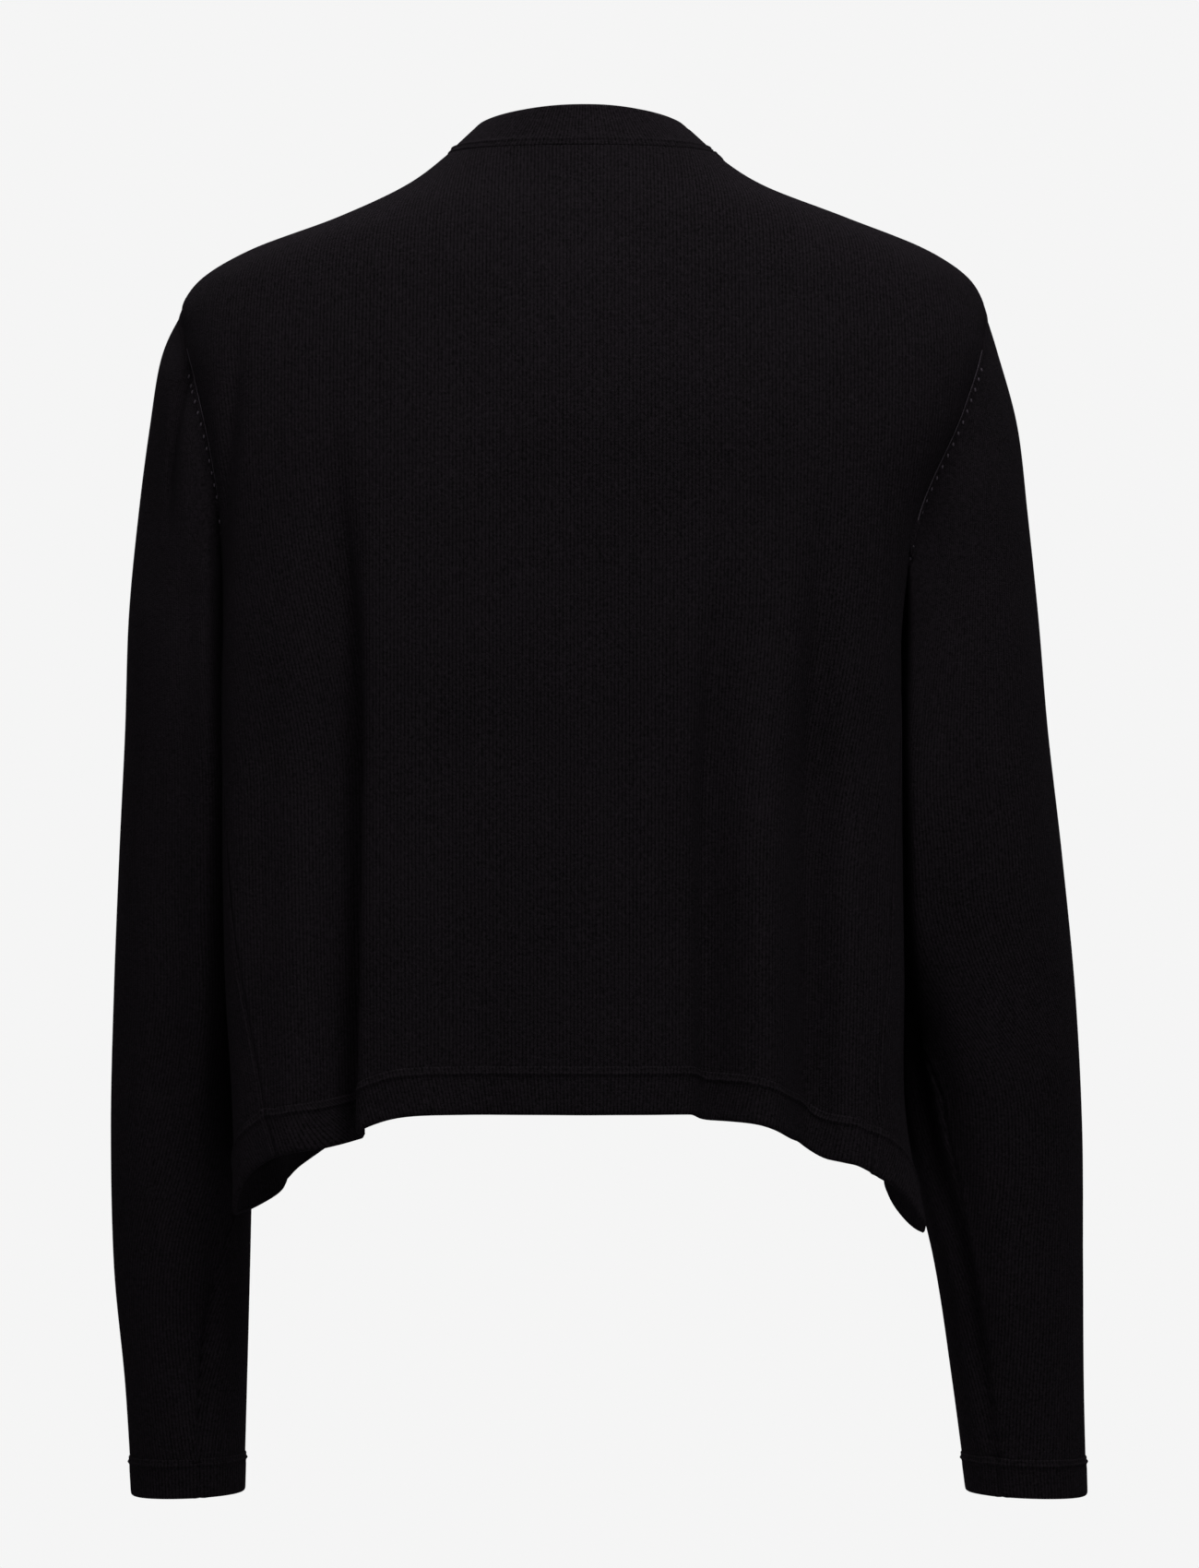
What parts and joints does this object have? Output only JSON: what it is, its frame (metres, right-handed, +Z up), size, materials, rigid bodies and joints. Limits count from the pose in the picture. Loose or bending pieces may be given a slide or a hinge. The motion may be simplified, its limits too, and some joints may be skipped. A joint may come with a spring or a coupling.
{
  "type": "knitted shrug",
  "caption": "Fine-knit open-front shrug with long set-in sleeves, rib cuffs and a rib band round the neck, fronts and hem, filled out as worn.",
  "frame": {"origin": "centre of the neck opening, level with the side neck points, where the wearer's neck and shoulders hold the shrug", "axes": "+Z up, +Y the way the wearer faces, so the back of the shrug faces -Y and the wearer's right is +X"},
  "size_m": [0.4951, 0.2201, 0.6998],
  "materials": {
    "knit": "matt",
    "rib": "matt"
  },
  "bodies": {
    "root": {"back": "knit", "front_left": "knit", "front_right": "knit", "sleeve_left": "knit", "sleeve_right": "knit", "neckband": "rib", "front_band_left": "rib", "front_band_right": "rib", "hem_band_back": "rib", "cuff_left": "rib", "cuff_right": "rib"}
  },
  "joints": []
}
